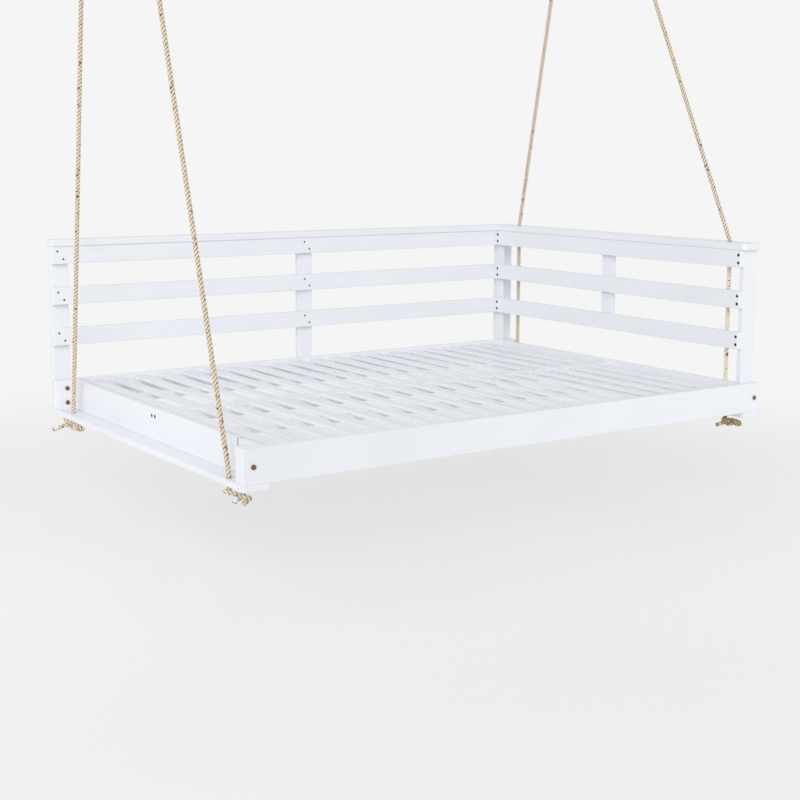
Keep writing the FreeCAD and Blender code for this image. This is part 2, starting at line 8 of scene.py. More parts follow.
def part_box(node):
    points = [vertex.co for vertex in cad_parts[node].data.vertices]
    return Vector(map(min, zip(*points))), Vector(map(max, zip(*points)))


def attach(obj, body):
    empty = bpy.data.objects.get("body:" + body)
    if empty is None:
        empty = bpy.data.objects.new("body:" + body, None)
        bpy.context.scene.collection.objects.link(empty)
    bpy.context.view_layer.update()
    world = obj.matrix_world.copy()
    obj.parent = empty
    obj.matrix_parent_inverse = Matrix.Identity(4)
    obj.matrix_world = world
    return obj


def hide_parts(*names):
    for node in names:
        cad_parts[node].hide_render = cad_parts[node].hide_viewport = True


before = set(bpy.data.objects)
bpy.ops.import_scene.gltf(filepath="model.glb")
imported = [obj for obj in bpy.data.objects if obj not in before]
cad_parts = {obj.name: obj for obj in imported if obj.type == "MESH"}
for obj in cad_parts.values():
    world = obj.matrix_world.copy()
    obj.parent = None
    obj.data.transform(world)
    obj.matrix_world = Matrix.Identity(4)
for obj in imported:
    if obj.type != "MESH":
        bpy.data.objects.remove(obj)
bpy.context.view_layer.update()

# Painted boards. Sawn softwood, planed smooth and brushed with two coats of satin white
# paint: the grain still shows through as faint ridges along each board, and the brush
# leaves finer ones.
mm = 0.001


def linear(code):
    """A colour written as a hex code, turned from sRGB to linear light by the sRGB curve's inverse."""
    levels = [int(code[i:i + 2], 16) / 255.0 for i in (1, 3, 5)]
    return [v / 12.92 if v <= 0.04045 else ((v + 0.055) / 1.055) ** 2.4 for v in levels] + [1.0]


def add_node(tree, kind, sockets=(), **settings):
    """Add a node with its settings to a tree.

    sockets gives each input, by its name or place, a value or another node's output."""
    made = tree.nodes.new(kind)
    for key, value in settings.items():
        setattr(made, key, value)
    for socket, value in dict(sockets).items():
        if isinstance(value, bpy.types.NodeSocket):
            tree.links.new(value, made.inputs[socket])
        else:
            made.inputs[socket].default_value = value
    return made


def new_finish(name):
    """A new material with its nodes cleared away, and its node tree."""
    finish = bpy.data.materials.new(name)
    finish.use_nodes = True
    finish.node_tree.nodes.clear()
    return finish, finish.node_tree


def surface(tree, shader):
    """Give a material its output, linked from a shader."""
    output = add_node(tree, "ShaderNodeOutputMaterial")
    tree.links.new(shader, output.inputs["Surface"])


def coat(node_names, finish):
    """Give the named pieces of the frame a finish in place of their plain one."""
    for name in node_names:
        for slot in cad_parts[name].material_slots:
            slot.material = finish


def own_shade(tree, where, tone, first, pitch):
    """The tone mixed half and half with one chance value for each slat.

    The slats lie side by side along X, pitch apart, and the first one's stretch begins at first."""
    parts = add_node(tree, "ShaderNodeSeparateXYZ", {0: where})
    past = add_node(tree, "ShaderNodeMath", {0: parts.outputs["X"], 1: first},
                    operation="SUBTRACT")
    count = add_node(tree, "ShaderNodeMath", {0: past.outputs[0], 1: pitch}, operation="DIVIDE")
    count = add_node(tree, "ShaderNodeMath", {0: count.outputs[0]}, operation="FLOOR")
    chance = add_node(tree, "ShaderNodeTexWhiteNoise", {"W": count.outputs[0]},
                      noise_dimensions="1D")
    both = add_node(tree, "ShaderNodeMix", {0: 0.5, 2: tone, 3: chance.outputs["Value"]},
                    data_type="FLOAT")
    return both.outputs[0]


def joint_shade_ends(tree, where, colour, ends):
    """A board's colour with painted shade, a grey line in the last 4 mm before its two ends along Y.
    """
    joint_shade_width = 4.0 * mm
    joint_shade_strength = 0.7
    middle, half = (ends[0] + ends[1]) / 2.0, (ends[1] - ends[0]) / 2.0
    parts = add_node(tree, "ShaderNodeSeparateXYZ", {0: where})
    away = add_node(tree, "ShaderNodeMath", {0: parts.outputs["Y"], 1: middle},
                    operation="SUBTRACT")
    away = add_node(tree, "ShaderNodeMath", {0: away.outputs[0]}, operation="ABSOLUTE")
    away = add_node(tree, "ShaderNodeMath", {0: away.outputs[0], 1: half}, operation="SUBTRACT")
    away = add_node(tree, "ShaderNodeMath", {0: away.outputs[0]}, operation="ABSOLUTE")
    joint_shade_mask = add_node(tree, "ShaderNodeMapRange",
                     {"Value": away.outputs[0], "From Min": joint_shade_width * 0.6,
                      "From Max": joint_shade_width, "To Min": joint_shade_strength, "To Max": 0.0})
    # Painted shade: the shadow in each joint's gap, drawn as a grey line on the paint.
    return add_node(tree, "ShaderNodeMix",
                    {0: joint_shade_mask.outputs[0], 6: colour.outputs[2], 7: linear("#55534F")},
                    data_type="RGBA")


def painted_timber(name, along, first=None, pitch=None, ends=None):
    """Satin white paint on a board that runs along X, Y or Z: dielectric, IOR 1.47.

    Grain ridges are 5 mm apart and some 400 mm long, brush marks 1.6 mm apart. With first and
    pitch, each slat of a row has its own slight shade. With ends, painted shade marks the joints."""
    finish, tree = new_finish(name)
    grain_length, grain_spacing = 400.0 * mm, 5.0 * mm
    brush_length, brush_spacing = 120.0 * mm, 1.6 * mm
    where = add_node(tree, "ShaderNodeTexCoord").outputs["Object"]
    axis = "XYZ".index(along)
    scales = []
    for length, spacing in ((grain_length, grain_spacing), (brush_length, brush_spacing)):
        scale = [1.0 / spacing] * 3
        scale[axis] = 1.0 / length
        scales.append(scale)
    grain_place = add_node(tree, "ShaderNodeMapping", {"Vector": where, "Scale": scales[0]})
    grain = add_node(tree, "ShaderNodeTexNoise",
                     {"Vector": grain_place.outputs[0], "Scale": 1.0, "Detail": 3.0,
                      "Roughness": 0.6})
    brush_place = add_node(tree, "ShaderNodeMapping", {"Vector": where, "Scale": scales[1]})
    brush = add_node(tree, "ShaderNodeTexNoise",
                     {"Vector": brush_place.outputs[0], "Scale": 1.0, "Detail": 2.0})
    # Patches of paint some 250 mm wide, a little thicker or thinner than the rest.
    cloud = add_node(tree, "ShaderNodeTexNoise", {"Vector": where, "Scale": 4.0, "Detail": 2.0})
    shade = add_node(tree, "ShaderNodeMath",
                     {0: grain.outputs["Fac"], 1: cloud.outputs["Fac"]}, operation="ADD")
    shade = add_node(tree, "ShaderNodeMapRange",
                     {"Value": shade.outputs[0], "From Min": 0.7, "From Max": 1.35})
    tone = own_shade(tree, where, shade.outputs[0], first, pitch) if pitch else shade.outputs[0]
    # The mix node keeps one set of sockets for each kind of value, so the colours go in by place.
    colour = add_node(tree, "ShaderNodeMix", {0: tone, 6: linear("#E4E7EC"), 7: linear("#EAECF1")},
                      data_type="RGBA")
    if ends:
        colour = joint_shade_ends(tree, where, colour, ends)
    rough = add_node(tree, "ShaderNodeMapRange",
                     {"Value": brush.outputs["Fac"], "To Min": 0.28, "To Max": 0.40})
    grain_bump = add_node(tree, "ShaderNodeBump",
                          {"Height": grain.outputs["Fac"], "Strength": 0.08, "Distance": 0.0005})
    brush_bump = add_node(tree, "ShaderNodeBump",
                          {"Height": brush.outputs["Fac"], "Strength": 0.1, "Distance": 0.0002,
                           "Normal": grain_bump.outputs[0]})
    paint = add_node(tree, "ShaderNodeBsdfPrincipled",
                     {"Base Color": colour.outputs[2], "Roughness": rough.outputs[0],
                      "IOR": 1.47, "Normal": brush_bump.outputs[0]})
    surface(tree, paint.outputs[0])
    return finish


board_names = ("low", "middle", "top")
along_seat = ["front_rail", "back_rail", "front_beam", "back_beam", "slat_ledgers", "slat_battens"]
along_seat += ["end_blocks", "back_cap"] + ["back_board_" + name for name in board_names]
front_to_back = ["right_end_rail", "corner_blocks", "left_hanger_plank", "right_hanger_plank"]
front_to_back += ["arm_cap"] + ["arm_board_" + name for name in board_names]
uprights = ["back_post_left", "back_post_middle", "back_post_right"]
uprights += ["arm_front_post", "arm_middle_upright", "arm_back_upright"]
coat(along_seat, painted_timber("white_paint_along_seat", "X"))
coat(front_to_back, painted_timber("white_paint_front_to_back", "Y"))
coat(uprights, painted_timber("white_paint_uprights", "Z"))
rail_low, rail_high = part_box("left_end_rail")
# The left end rail's joints with its corner blocks get painted shade lines.
coat(["left_end_rail"],
     painted_timber("white_paint_left_end", "Y", ends=(rail_low[1], rail_high[1])))

# Slats. Two rows of 20 thin painted boards, pinned down on ledgers and battens. Each was
# painted on its own, so each is a shade lighter or darker than the next.
slat_count = 20
slat_low, slat_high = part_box("front_slats")
slat_width = 43.5 * mm
slat_pitch = (slat_high[0] - slat_low[0] - slat_width) / (slat_count - 1)
slat_gap = slat_pitch - slat_width
coat(["front_slats", "back_slats"],
     painted_timber("white_paint_slats", "Y",
                    first=slat_low[0] - slat_gap / 2.0, pitch=slat_pitch))

# Dowels. Turned beech, left bare and hidden in the joints between the end rails and their
# corner blocks: pale brown, with short dark flecks along the grain.


def bare_beech():
    """Bare beech, IOR 1.5: a warm brown with flecks 1 mm wide and 6 mm long, along Y."""
    finish, tree = new_finish("bare_beech")
    where = add_node(tree, "ShaderNodeTexCoord").outputs["Object"]
    place = add_node(tree, "ShaderNodeMapping", {"Vector": where, "Scale": [1000.0, 160.0, 1000.0]})
    fleck = add_node(tree, "ShaderNodeTexNoise",
                     {"Vector": place.outputs[0], "Scale": 1.0, "Detail": 4.0})
    ramp = add_node(tree, "ShaderNodeValToRGB", {"Fac": fleck.outputs["Fac"]})
    ramp.color_ramp.elements[0].color = linear("#9C7448")
    ramp.color_ramp.elements[1].color = linear("#CFA777")
    wood = add_node(tree, "ShaderNodeBsdfPrincipled",
                    {"Base Color": ramp.outputs[0], "Roughness": 0.6, "IOR": 1.5})
    surface(tree, wood.outputs[0])
    return finish


coat(["end_dowels"], bare_beech())

# Bolts and nuts. Button heads with a hexagon socket, through the corners of the bed frame.
# Steel with an antique brass plating that has dulled to a warm brown, brighter where a
# tool has rubbed it.


def plated_metal(name, dull, bright, roughness):
    """A metal plating with cloudy wear, patches some 4 mm across: metallic, default IOR."""
    finish, tree = new_finish(name)
    where = add_node(tree, "ShaderNodeTexCoord").outputs["Object"]
    cloud = add_node(tree, "ShaderNodeTexNoise", {"Vector": where, "Scale": 250.0, "Detail": 5.0})
    ramp = add_node(tree, "ShaderNodeValToRGB", {"Fac": cloud.outputs["Fac"]})
    ramp.color_ramp.elements[0].position = 0.35
    ramp.color_ramp.elements[1].position = 0.7
    ramp.color_ramp.elements[0].color = linear(dull)
    ramp.color_ramp.elements[1].color = linear(bright)
    rough = add_node(tree, "ShaderNodeMapRange",
                     {"Value": cloud.outputs["Fac"],
                      "To Min": roughness + 0.12, "To Max": roughness - 0.08})
    bump = add_node(tree, "ShaderNodeBump",
                    {"Height": cloud.outputs["Fac"], "Strength": 0.2, "Distance": 0.0001})
    metal = add_node(tree, "ShaderNodeBsdfPrincipled",
                     {"Base Color": ramp.outputs[0], "Metallic": 1.0, "Roughness": rough.outputs[0],
                      "Normal": bump.outputs[0]})
    surface(tree, metal.outputs[0])
    return finish


coat(["frame_bolts", "frame_nuts"], plated_metal("antique_brass_plate", "#6B5840", "#A08A66", 0.45))

# Screws and pins. Flat-headed wood screws: those of the arm boards and the beams are dark
# plated, the backrest's are plated a greyer brown, the others and the pins are zinc plated.
coat(["arm_screws", "beam_screws"], plated_metal("dark_plated_steel", "#2A211D", "#4A3D35", 0.4))
coat(["backrest_screws"], plated_metal("grey_brown_plated_steel", "#5A5049", "#8A8078", 0.45))
zinc = plated_metal("zinc_plate", "#8E9194", "#BFC2C4", 0.35)
coat(["middle_upright_screws", "back_upright_screws", "plank_screws"], zinc)
coat(["slat_pins", "cap_pins"], zinc)

# Ropes. Tan three-strand rope, 15 mm thick and laid right-handed, its three strands each a
# twist of fine yarns. Each long rope runs from its hole in the seat to an eye at its
# hanger, and back down beside itself.
rope_radius = 7.5 * mm
strand_crest = 7.9 * mm
lay_length = 37.0 * mm
strands = 3
# Places are taken from the frame's front left corner, at the height of the front rail's top.
front_low, front_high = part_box("front_rail")
corner = np.array([front_low[0], front_low[1], front_high[2]])
frame_length = front_high[0] - front_low[0]
frame_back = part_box("back_rail")[1][1] - corner[1]
plank_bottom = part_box("left_hanger_plank")[0][2]
plank_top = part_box("left_hanger_plank")[1][2]
cap_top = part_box("arm_cap")[1][2]
rope_holes = {
    "front_left": (19.0 * mm, 117.0 * mm),
    "back_left": (28.0 * mm, frame_back - 111.0 * mm),
    "front_right": (frame_length - 45.0 * mm, 120.0 * mm),
    "back_right": (frame_length - 45.0 * mm, frame_back - 103.0 * mm),
}


def unit(vector):
    """The vectors of an array, each made one long."""
    return vector / np.linalg.norm(vector, axis=-1, keepdims=True)


def smooth_line(points, step):
    """A cord's own line, and how far along it each point lies.

    It is a NURBS spline of order 3 on the route's points, read back and cut in equal steps."""
    curve = bpy.data.curves.new("route", "CURVE")
    curve.dimensions = "3D"
    curve.resolution_u = 48
    spline = curve.splines.new("NURBS")
    spline.points.add(len(points) - 1)
    spline.points.foreach_set("co", np.column_stack([points, np.ones(len(points))]).ravel())
    spline.order_u = 3
    spline.use_endpoint_u = True
    holder = bpy.data.objects.new("route", curve)
    mesh = bpy.data.meshes.new_from_object(holder)
    line = np.empty(len(mesh.vertices) * 3)
    mesh.vertices.foreach_get("co", line)
    line = line.reshape(-1, 3)
    bpy.data.objects.remove(holder)
    bpy.data.curves.remove(curve)
    bpy.data.meshes.remove(mesh)
    run = np.concatenate([[0.0], np.cumsum(np.linalg.norm(np.diff(line, axis=0), axis=1))])
    even = np.linspace(0.0, run[-1], max(2, round(run[-1] / step)) + 1)
    return np.column_stack([np.interp(even, run, line[:, i]) for i in range(3)]), even


def frames_along(line):
    """Two directions square to a line at each of its points, turning with it but never twisting.

    First they are set against one fixed direction, which no rope runs along. Each is then turned
    back by the sum of the angles between it and the one before, carried over by the least turn of
    the tangent."""
    tangent = unit(np.gradient(line, axis=0))
    fixed = np.array([0.937, 0.283, 0.206])
    side = unit(fixed - tangent * (tangent @ fixed)[:, None])
    a, b, v = tangent[:-1], tangent[1:], side[:-1]
    lean = np.sum(b * v, axis=1) / (1.0 + np.sum(a * b, axis=1))
    carried = v - (a + b) * lean[:, None]
    ahead = side[1:]
    turn = np.arctan2(np.sum(np.cross(carried, ahead) * b, axis=1), np.sum(carried * ahead, axis=1))
    back = -np.concatenate([[0.0], np.cumsum(turn)])[:, None]
    other = np.cross(tangent, side)
    steady_side = side * np.cos(back) + other * np.sin(back)
    steady_other = other * np.cos(back) - side * np.sin(back)
    return steady_side, steady_other


def grid_mesh(name, points, uv, finish, wrap_rings=False, end_caps=False):
    """A mesh on a grid of rings, each closed round.

    Its UV map has one value more than a ring has points. The ends are closed by one face each
    with end_caps, or the last ring is joined to the first with wrap_rings."""
    rings, around = points.shape[:2]
    ring = np.arange(rings if wrap_rings else rings - 1)[:, None]
    place = np.arange(around)[None, :]
    nxt_ring = (ring + 1) % rings
    nxt_place = (place + 1) % around
    quads = np.stack([ring * around + place, ring * around + nxt_place,
                      nxt_ring * around + nxt_place, nxt_ring * around + place], axis=-1)
    quads = quads.reshape(-1, 4)
    corners = np.stack([uv[ring, place], uv[ring, place + 1],
                        uv[ring + 1, place + 1], uv[ring + 1, place]], axis=2).reshape(-1, 2)
    faces = quads.tolist()
    if end_caps:
        first = np.arange(around)[::-1]
        last = (rings - 1) * around + np.arange(around)
        faces += [first.tolist(), last.tolist()]
        corners = np.concatenate([corners, uv[0, :around][::-1], uv[-1, :around]])
    mesh = bpy.data.meshes.new(name)
    mesh.from_pydata(points.reshape(-1, 3), [], faces)
    layer = mesh.uv_layers.new(name="lay")
    layer.data.foreach_set("uv", corners.ravel())
    mesh.polygons.foreach_set("use_smooth", np.ones(len(faces), bool))
    mesh.materials.append(finish)
    mesh.update()
    piece = bpy.data.objects.new(name, mesh)
    bpy.context.scene.collection.objects.link(piece)
    return piece


def laid_rope(name, line, run, finish, radius=strand_crest, roundness=0.0):
    """Three strands round a line: rings of the lobed outline, turned by one lap each lay length.

    The outline at an angle f from a strand's middle is c cos f + sqrt(a^2 - c^2 sin^2 f), where a
    is strand, the strand's radius, and c is out, its distance from the axis, both as shares of the
    rope's radius. A roundness of 1, where tape covers the rope, makes it a plain circle. Around it
    the UV counts strands, along it lay lengths."""
    around = 36
    strand, out = 0.58, 0.42
    side, other = frames_along(line)
    column = np.arange(around) / around
    from_middle = (column * strands % 1.0 - 0.5) * (2.0 * math.pi / strands)
    outline = out * np.cos(from_middle) + np.sqrt(strand ** 2 - (out * np.sin(from_middle)) ** 2)
    angle = 2.0 * math.pi * (column[None, :] + run[:, None] / lay_length)
    smooth = np.broadcast_to(np.asarray(roundness), run.shape)[:, None]
    reach = np.broadcast_to(np.asarray(radius), run.shape)[:, None]
    reach = reach * (outline * (1.0 - smooth) + smooth)
    points = line[:, None, :] + (side[:, None, :] * (reach * np.cos(angle))[..., None]
                                 + other[:, None, :] * (reach * np.sin(angle))[..., None])
    u, v = np.meshgrid(np.arange(around + 1) * strands / around, run / lay_length)
    return grid_mesh(name, points, np.stack([u, v], axis=-1), finish, end_caps=True)


def tan_rope(name, dark_fibre, fibre_colour, pale_fibre, groove_shade_and_dust):
    """Spun rope of the colour of manila: rough and matt, its yarns 1.8 mm wide and finely haired.

    Yarns lie nearly in line with the rope, so in one lay length their pattern runs back round it
    by most of a turn. Tufts of fibre on them are 1.1 mm wide and 14 mm long. The grooves between
    strands are painted darker: painted shade, and dust."""
    yarns_in_strand = 9.0
    yarn_lean = 0.8
    tufts_across_yarn = 1.6
    tufts_in_lay = 2.56
    finish, tree = new_finish(name)
    uv = add_node(tree, "ShaderNodeUVMap", uv_map="lay")
    parts = add_node(tree, "ShaderNodeSeparateXYZ", {0: uv.outputs[0]})
    # From one groove to the next the strand's own coordinate goes 0 to 1.
    across = add_node(tree, "ShaderNodeMath", {0: parts.outputs["X"]}, operation="FRACT")
    fall = add_node(tree, "ShaderNodeMath", {0: across.outputs[0], 1: 0.5}, operation="SUBTRACT")
    fall = add_node(tree, "ShaderNodeMath", {0: fall.outputs[0]}, operation="ABSOLUTE")
    # Painted shade and dust: the grooves between strands get a darker colour.
    groove = add_node(tree, "ShaderNodeMapRange",
                      {"Value": fall.outputs[0], "From Min": 0.30, "From Max": 0.5},
                      interpolation_type="SMOOTHSTEP")
    slant = add_node(tree, "ShaderNodeMath",
                     {0: parts.outputs["Y"], 1: strands * yarn_lean}, operation="MULTIPLY")
    lane = add_node(tree, "ShaderNodeMath", {0: parts.outputs["X"], 1: slant.outputs[0]},
                    operation="ADD")
    yarn_place = add_node(tree, "ShaderNodeCombineXYZ",
                          {"X": lane.outputs[0], "Y": parts.outputs["Y"]})
    yarn_scale = add_node(tree, "ShaderNodeVectorMath",
                          {0: yarn_place.outputs[0],
                           1: [yarns_in_strand, tufts_in_lay / tufts_across_yarn, 1.0]},
                          operation="MULTIPLY")
    fibre = add_node(tree, "ShaderNodeTexNoise",
                     {"Vector": yarn_scale.outputs[0], "Scale": tufts_across_yarn,
                      "Detail": 4.0, "Roughness": 0.65})
    turn = add_node(tree, "ShaderNodeMath",
                    {0: lane.outputs[0], 1: 2.0 * math.pi * yarns_in_strand}, operation="MULTIPLY")
    wave = add_node(tree, "ShaderNodeMath", {0: turn.outputs[0]}, operation="SINE")
    height = add_node(tree, "ShaderNodeMath", {0: wave.outputs[0], 1: 0.25}, operation="MULTIPLY")
    height = add_node(tree, "ShaderNodeMath",
                      {0: height.outputs[0], 1: fibre.outputs["Fac"]}, operation="ADD")
    ramp = add_node(tree, "ShaderNodeValToRGB", {"Fac": fibre.outputs["Fac"]})
    tones = ramp.color_ramp
    tones.elements[0].position = 0.30
    tones.elements[1].position = 0.72
    tones.elements[0].color = linear(dark_fibre)
    tones.elements[1].color = linear(pale_fibre)
    middle = tones.elements.new(0.5)
    middle.color = linear(fibre_colour)
    shade = add_node(tree, "ShaderNodeMix",
                     {0: groove.outputs[0], 6: ramp.outputs[0], 7: linear(groove_shade_and_dust)},
                     data_type="RGBA")
    # Here and there a darker fibre shows at a strand's surface for a few millimetres: the highest
    # peaks of a noise 12 mm across.
    where = add_node(tree, "ShaderNodeTexCoord").outputs["Object"]
    fleck = add_node(tree, "ShaderNodeTexNoise", {"Vector": where, "Scale": 85.0, "Detail": 1.0})
    dark = add_node(tree, "ShaderNodeMapRange",
                    {"Value": fleck.outputs["Fac"], "From Min": 0.65, "From Max": 0.70, "To Max": 0.9})
    flecked = add_node(tree, "ShaderNodeMix",
                       {0: dark.outputs[0], 6: shade.outputs[2], 7: linear("#4A3220")},
                       data_type="RGBA")
    bump = add_node(tree, "ShaderNodeBump",
                    {"Height": height.outputs[0], "Strength": 0.7, "Distance": 0.0005})
    rope = add_node(tree, "ShaderNodeBsdfPrincipled",
                    {"Base Color": flecked.outputs[2], "Roughness": 0.85, "IOR": 1.5,
                     "Specular IOR Level": 0.25, "Sheen Weight": 0.15, "Sheen Roughness": 0.5,
                     "Normal": bump.outputs[0]})
    surface(tree, rope.outputs[0])
    return finish


rope_finish = tan_rope("tan_laid_rope", "#B4997B", "#E7D6BD", "#FFFAEE", "#553D28")
swing_centre = corner + np.array([0.0, 800.0, 2350.0]) * mm
hanger_height = 1510.0 * mm
hanger_x = {
    "front_left": -3.0 * mm,
    "back_left": -25.0 * mm,
    "front_right": frame_length - 156.0 * mm,
    "back_right": frame_length - 96.0 * mm,
}
# How far each thimble's inner side lies from its hanger's bar.
hang_gaps = {
    "front_left": 0.3 * mm,
    "back_left": 1.1 * mm,
    "front_right": 1.7 * mm,
    "back_right": 2.4 * mm,
}
rod_radius = 5.0 * mm
thimble_radius = 20.0 * mm
# The eye's circle ends at its two foot points, this far from its middle: across and down.
eye_radius = 30.3 * mm
eye_foot = (16.8 * mm, 25.2 * mm)
leg_offset = 7.8 * mm
shoulder_drop = 41.92 * mm
shoulder_corner = 31.2 * mm
seizing_length = 34.0 * mm
tail_past_seizing = 14.0 * mm
bend_below_seizing = 12.0 * mm
straight_before_bend = 90.0 * mm


def eye_plane(place):
    """A rope's pivot, the middle of its eye, and the directions across and up the eye."""
    x, y = rope_holes[place]
    level = plank_top if place.endswith("left") else cap_top
    pivot = np.array([corner[0] + x, corner[1] + y, level])
    height = corner[2] + hanger_height
    rise = (height - level) / (swing_centre[2] - level)
    bar = np.array([corner[0] + hanger_x[place],
                    pivot[1] + (swing_centre[1] - pivot[1]) * rise, height])
    up = unit(np.array([0.0, bar[1] - pivot[1], bar[2] - pivot[2]]))
    across = np.cross([1.0, 0.0, 0.0], up)
    eye = bar - up * (thimble_radius - rod_radius - hang_gaps[place])
    return pivot, eye, across, up


def rope_route(place):
    """A rope's points: up from its pivot, round its eye and down its tail.

    Round the eye they are the corners of a ring of edges whose middles touch the eye's circle."""
    pivot, eye, across, up = eye_plane(place)
    eye_corners = 8
    lowest = math.atan2(eye_foot[1], eye_foot[0])
    angles = np.linspace(-lowest, math.pi + lowest, 2 * eye_corners + 1)[1::2]
    reach = eye_radius / math.cos(angles[1] / 2.0 - angles[0] / 2.0)
    leg = [-shoulder_drop - seizing_length - bend_below_seizing, -shoulder_drop, -shoulder_corner]
    flat = [(leg_offset, h) for h in leg]
    flat += [(reach * math.cos(a), reach * math.sin(a)) for a in angles]
    flat += [(-leg_offset, -shoulder_corner), (-leg_offset, -shoulder_drop),
             (-leg_offset, -shoulder_drop - seizing_length - tail_past_seizing)]
    plane = np.array(flat)
    bent = eye + plane[:, :1] * across + plane[:, 1:] * up
    before = bent[0] + unit(pivot - bent[0]) * straight_before_bend
    return np.vstack([pivot, before, bent])


ring_step = 2.8 * mm
long_ropes = {}
for place in rope_holes:
    line, run = smooth_line(rope_route(place), ring_step)
    rope = laid_rope(place + "_laid_rope", line, run, rope_finish)
    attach(rope, place + "_swing_rope")
    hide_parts(place + "_rope")
    long_ropes[place] = (rope, line, run)

# Thimbles. Bent steel bands that line each eye so that the hanger's bar doesn't wear it,
# zinc plated.
for place in rope_holes:
    coat([place + "_thimble"], zinc)

# Seizings. Tarred twine, 2 mm thick, wound tight round both legs of each rope below its
# eye, 17 turns in a row.


def tarred_twine():
    """Brown tarred twine: matt with a slight wax gleam, fibres 0.4 mm wide across each turn."""
    finish, tree = new_finish("tarred_twine")
    where = add_node(tree, "ShaderNodeTexCoord").outputs["Object"]
    place = add_node(tree, "ShaderNodeMapping", {"Vector": where, "Scale": [600.0, 600.0, 2500.0]})
    fibre = add_node(tree, "ShaderNodeTexNoise",
                     {"Vector": place.outputs[0], "Scale": 1.0, "Detail": 3.0})
    ramp = add_node(tree, "ShaderNodeValToRGB", {"Fac": fibre.outputs["Fac"]})
    ramp.color_ramp.elements[0].color = linear("#4E3822")
    ramp.color_ramp.elements[1].color = linear("#9A7650")
    bump = add_node(tree, "ShaderNodeBump",
                    {"Height": fibre.outputs["Fac"], "Strength": 0.5, "Distance": 0.0003})
    twine = add_node(tree, "ShaderNodeBsdfPrincipled",
                     {"Base Color": ramp.outputs[0], "Roughness": 0.65, "IOR": 1.5,
                      "Normal": bump.outputs[0]})
    surface(tree, twine.outputs[0])
    return finish


twine_finish = tarred_twine()
twine_thickness = 2.0 * mm
seizing_wall = 2.5 * mm
ridge_height = 0.9 * mm
bite_into_rope = 1.5 * mm


def wound_seizing(name, place):
    """A winding round two legs: a stadium outline, its wall swelled by a ridge for each turn.

    The ridge is |sin(pi (t - s))|, where t is the turns climbed and s the share of the way round
    the stadium, so that the winding is one helix. At both ends it fades out over half a turn. The
    grid closes on itself: up the ridged outer side, and down a smooth inner one."""
    eye, across, up = eye_plane(place)[1:]
    turns = round(seizing_length / twine_thickness)
    steps = 8 * turns
    around = 64
    share = np.arange(around) / around
    half_round = math.pi * (rope_radius + seizing_wall)
    straight = 2.0 * leg_offset
    lap = 2.0 * (half_round + straight)
    at = share * lap
    on_right = at < half_round
    on_back = (at >= half_round) & (at < half_round + straight)
    on_left = (at >= half_round + straight) & (at < 2.0 * half_round + straight)
    angle = np.select(
        [on_right, on_back, on_left],
        [at / half_round * math.pi - math.pi / 2.0, math.pi / 2.0,
         (at - half_round - straight) / half_round * math.pi + math.pi / 2.0],
        1.5 * math.pi)
    middle = np.select(
        [on_right, on_back, on_left],
        [leg_offset, leg_offset - (at - half_round), -leg_offset],
        -leg_offset + (at - 2.0 * half_round - straight))
    climb = np.linspace(0.0, 1.0, steps + 1)
    ridge = np.abs(np.sin(math.pi * (climb[:, None] * turns - share[None, :])))
    end_fade = np.clip(np.minimum(climb, 1.0 - climb) * turns * 2.0, 0.0, 1.0)[:, None]
    wall = (seizing_wall - ridge_height) * end_fade ** 0.5 + ridge_height * ridge * end_fade
    outer = rope_radius + wall
    inner = np.full((2, around), rope_radius - bite_into_rope)
    reach = np.vstack([outer, inner])
    height = np.concatenate([climb, [1.0, 0.0]]) * seizing_length - shoulder_drop - seizing_length
    flat_across = middle[None, :] + reach * np.cos(angle)[None, :]
    flat_face = reach * np.sin(angle)[None, :]
    points = (eye + flat_across[..., None] * across + height[:, None, None] * up
              - flat_face[..., None] * np.array([1.0, 0.0, 0.0]))
    u, v = np.meshgrid(np.arange(around + 1) / around, np.arange(len(reach) + 1) / turns)
    return grid_mesh(name, points, np.stack([u, v], axis=-1), twine_finish, wrap_rings=True)


for place, (rope, line, run) in long_ropes.items():
    seizing = wound_seizing(place + "_twine_seizing", place)
    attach(seizing, place + "_swing_rope")
    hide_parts(place + "_seizing")

# Lower ropes. At the arm end each rope runs on straight down, past the outer side of the
# arm boards, from the arm cap to the plank under the seat. The front one is painted paler,
# its grooves too: painted light, for the light from behind that falls on it there.
paler_lit_rope_finish = tan_rope("paler_lit_laid_rope", "#E6D2B2", "#FDF1DC", "#FFFEF8", "#CDB08A")
rope_gap = 0.5 * mm
plank_middle = (plank_bottom + plank_top) / 2.0
lower_ropes = {}
for place in ("front_right", "back_right"):
    x, y = rope_holes[place]
    top = np.array([corner[0] + x, corner[1] + y, cap_top - rope_radius - rope_gap])
    foot = np.array([top[0], top[1], plank_middle])
    lower_line, lower_run = smooth_line(np.linspace(top, foot, 3), ring_step)
    # The front lower rope takes the paler copy: painted light.
    lower_finish = paler_lit_rope_finish if place == "front_right" else rope_finish
    lower = laid_rope(place + "_lower_laid_rope", lower_line, lower_run, lower_finish)
    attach(lower, "seat")
    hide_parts(place + "_lower_rope")
    lower_ropes[place] = (lower, lower_line, lower_run)

# Knots. Each rope ends below its plank in a stopper knot: the rope lies along the plank's
# underside, turns back at each end of the knot and winds round itself, and its tail comes
# out, bound with pale tape. The two knots at the arm end are painted a darker olive brown:
# painted shade, for the shadow they hang in under the arm end.
knot_way = unit(np.array([0.8, -0.55, -0.45]))
knot_side = unit(np.cross(knot_way, [0.0, 0.0, 1.0]))
knot_up = np.cross(knot_side, knot_way)
knot_drop = 23.0 * mm
neck_past_plank = 2.0 * mm
tail_start = 0.4
knot_step = 1.8 * mm
knot_rope_radius = 7.5 * mm
hole_stretch = 15.0 * mm
thinning_stretch = 15.0 * mm
tape_length = 17.0 * mm
tape_radius = 7.4 * mm
tape_roundness = 0.85
cut_length = 2.5 * mm
